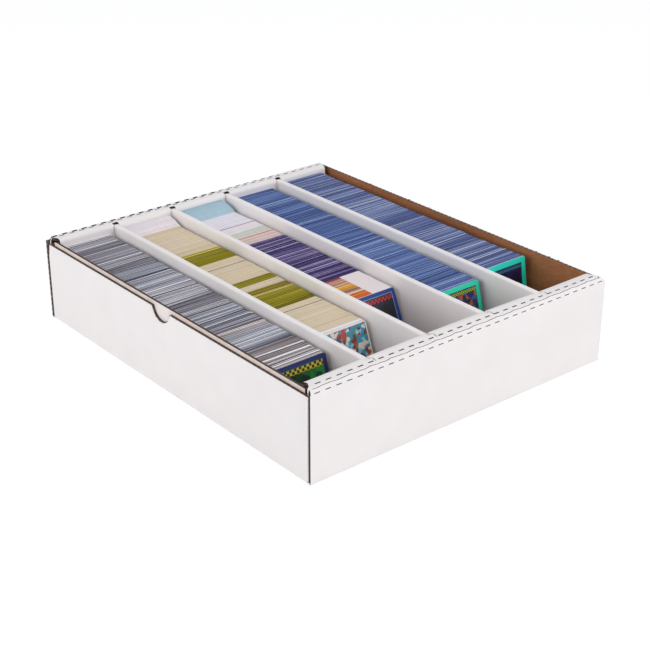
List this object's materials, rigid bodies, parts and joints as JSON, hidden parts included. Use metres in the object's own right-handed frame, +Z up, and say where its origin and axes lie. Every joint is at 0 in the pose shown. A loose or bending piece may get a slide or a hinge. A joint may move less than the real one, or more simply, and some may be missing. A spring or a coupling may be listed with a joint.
{
  "type": "card storage tray",
  "caption": "Shallow white-lined corrugated tray with rolled end walls, a thumb notch and removable dividers, filled with rows of leaning cards.",
  "frame": {"origin": "middle of the underside of the tray", "axes": "+X along the channels from the full end towards the end with free space, +Y from the notched front wall to the back wall, +Z up"},
  "size_m": [0.47, 0.3974, 0.0985],
  "materials": {
    "white_lined_board": "matte",
    "white_divider_board": "matte",
    "silver_card_edges": "satin",
    "white_card_edges": "matte",
    "cream_card_edges": "matte",
    "olive_card_edges": "matte",
    "pale_blue_card_edges": "matte",
    "purple_card_edges": "matte",
    "deep_blue_card_edges": "matte",
    "slate_blue_card_edges": "matte",
    "front_card_1_print": "gloss",
    "front_card_2_print": "gloss",
    "front_card_3_print": "gloss",
    "front_card_4_print": "gloss",
    "front_card_5_print": "gloss"
  },
  "bodies": {
    "tray": {"bottom_panel": "white_lined_board", "front_wall": "white_lined_board", "front_inner_panel": "white_lined_board", "back_wall": "white_lined_board", "left_end_wall": "white_lined_board", "right_end_wall": "white_lined_board", "left_rolled_edge": "white_lined_board", "right_rolled_edge": "white_lined_board", "left_inner_panel": "white_lined_board", "right_inner_panel": "white_lined_board", "front_left_corner_flap": "white_lined_board", "front_right_corner_flap": "white_lined_board", "back_left_corner_flap": "white_lined_board", "back_right_corner_flap": "white_lined_board"},
    "divider_1": {"divider_1": "white_divider_board"},
    "divider_2": {"divider_2": "white_divider_board"},
    "divider_3": {"divider_3": "white_divider_board"},
    "divider_4": {"divider_4": "white_divider_board"},
    "row_1": {"row_1_silver_cards": "silver_card_edges"},
    "front_card_1": {"front_card_1": "front_card_1_print"},
    "row_2": {"row_2_white_cards": "white_card_edges", "row_2_cream_cards": "cream_card_edges", "row_2_olive_cards": "olive_card_edges", "row_2_plain_cards": "cream_card_edges", "row_2_green_cards": "olive_card_edges", "row_2_near_cards": "cream_card_edges"},
    "front_card_2": {"front_card_2": "front_card_2_print"},
    "row_3": {"row_3_sky_cards": "pale_blue_card_edges", "row_3_pale_cards": "white_card_edges", "row_3_purple_cards": "purple_card_edges", "row_3_near_cards": "white_card_edges"},
    "front_card_3": {"front_card_3": "front_card_3_print"},
    "row_4": {"row_4_blue_cards": "deep_blue_card_edges"},
    "front_card_4": {"front_card_4": "front_card_4_print"},
    "row_5": {"row_5_blue_cards": "slate_blue_card_edges"},
    "front_card_5": {"front_card_5": "front_card_5_print"}
  },
  "joints": [
    {"name": "divider_1_lift", "type": "slide", "parent": "tray", "child": "divider_1", "axis": [0, 0, 1], "range_m": [0, 0.1]},
    {"name": "divider_2_lift", "type": "slide", "parent": "tray", "child": "divider_2", "axis": [0, 0, 1], "range_m": [0, 0.1]},
    {"name": "divider_3_lift", "type": "slide", "parent": "tray", "child": "divider_3", "axis": [0, 0, 1], "range_m": [0, 0.1]},
    {"name": "divider_4_lift", "type": "slide", "parent": "tray", "child": "divider_4", "axis": [0, 0, 1], "range_m": [0, 0.1]},
    {"name": "row_1_slide", "type": "slide", "parent": "tray", "child": "row_1", "axis": [1, 0, 0], "range_m": [0, 0.0223]},
    {"name": "front_card_1_lift", "type": "slide", "parent": "row_1", "child": "front_card_1", "axis": [-0.309, 0, 0.9511], "range_m": [0, 0.1]},
    {"name": "row_2_slide", "type": "slide", "parent": "tray", "child": "row_2", "axis": [1, 0, 0], "range_m": [0, 0.0484]},
    {"name": "front_card_2_lift", "type": "slide", "parent": "row_2", "child": "front_card_2", "axis": [-0.3746, 0, 0.9272], "range_m": [0, 0.1]},
    {"name": "row_3_slide", "type": "slide", "parent": "tray", "child": "row_3", "axis": [1, 0, 0], "range_m": [0, 0.0894]},
    {"name": "front_card_3_lift", "type": "slide", "parent": "row_3", "child": "front_card_3", "axis": [-0.4067, 0, 0.9135], "range_m": [0, 0.1]},
    {"name": "row_4_slide", "type": "slide", "parent": "tray", "child": "row_4", "axis": [1, 0, 0], "range_m": [0, 0.0517]},
    {"name": "front_card_4_lift", "type": "slide", "parent": "row_4", "child": "front_card_4", "axis": [-0.2756, 0, 0.9613], "range_m": [0, 0.1]},
    {"name": "row_5_slide", "type": "slide", "parent": "tray", "child": "row_5", "axis": [1, 0, 0], "range_m": [0, 0.0716]},
    {"name": "front_card_5_lift", "type": "slide", "parent": "row_5", "child": "front_card_5", "axis": [-0.1564, 0, 0.9877], "range_m": [0, 0.1]}
  ]
}
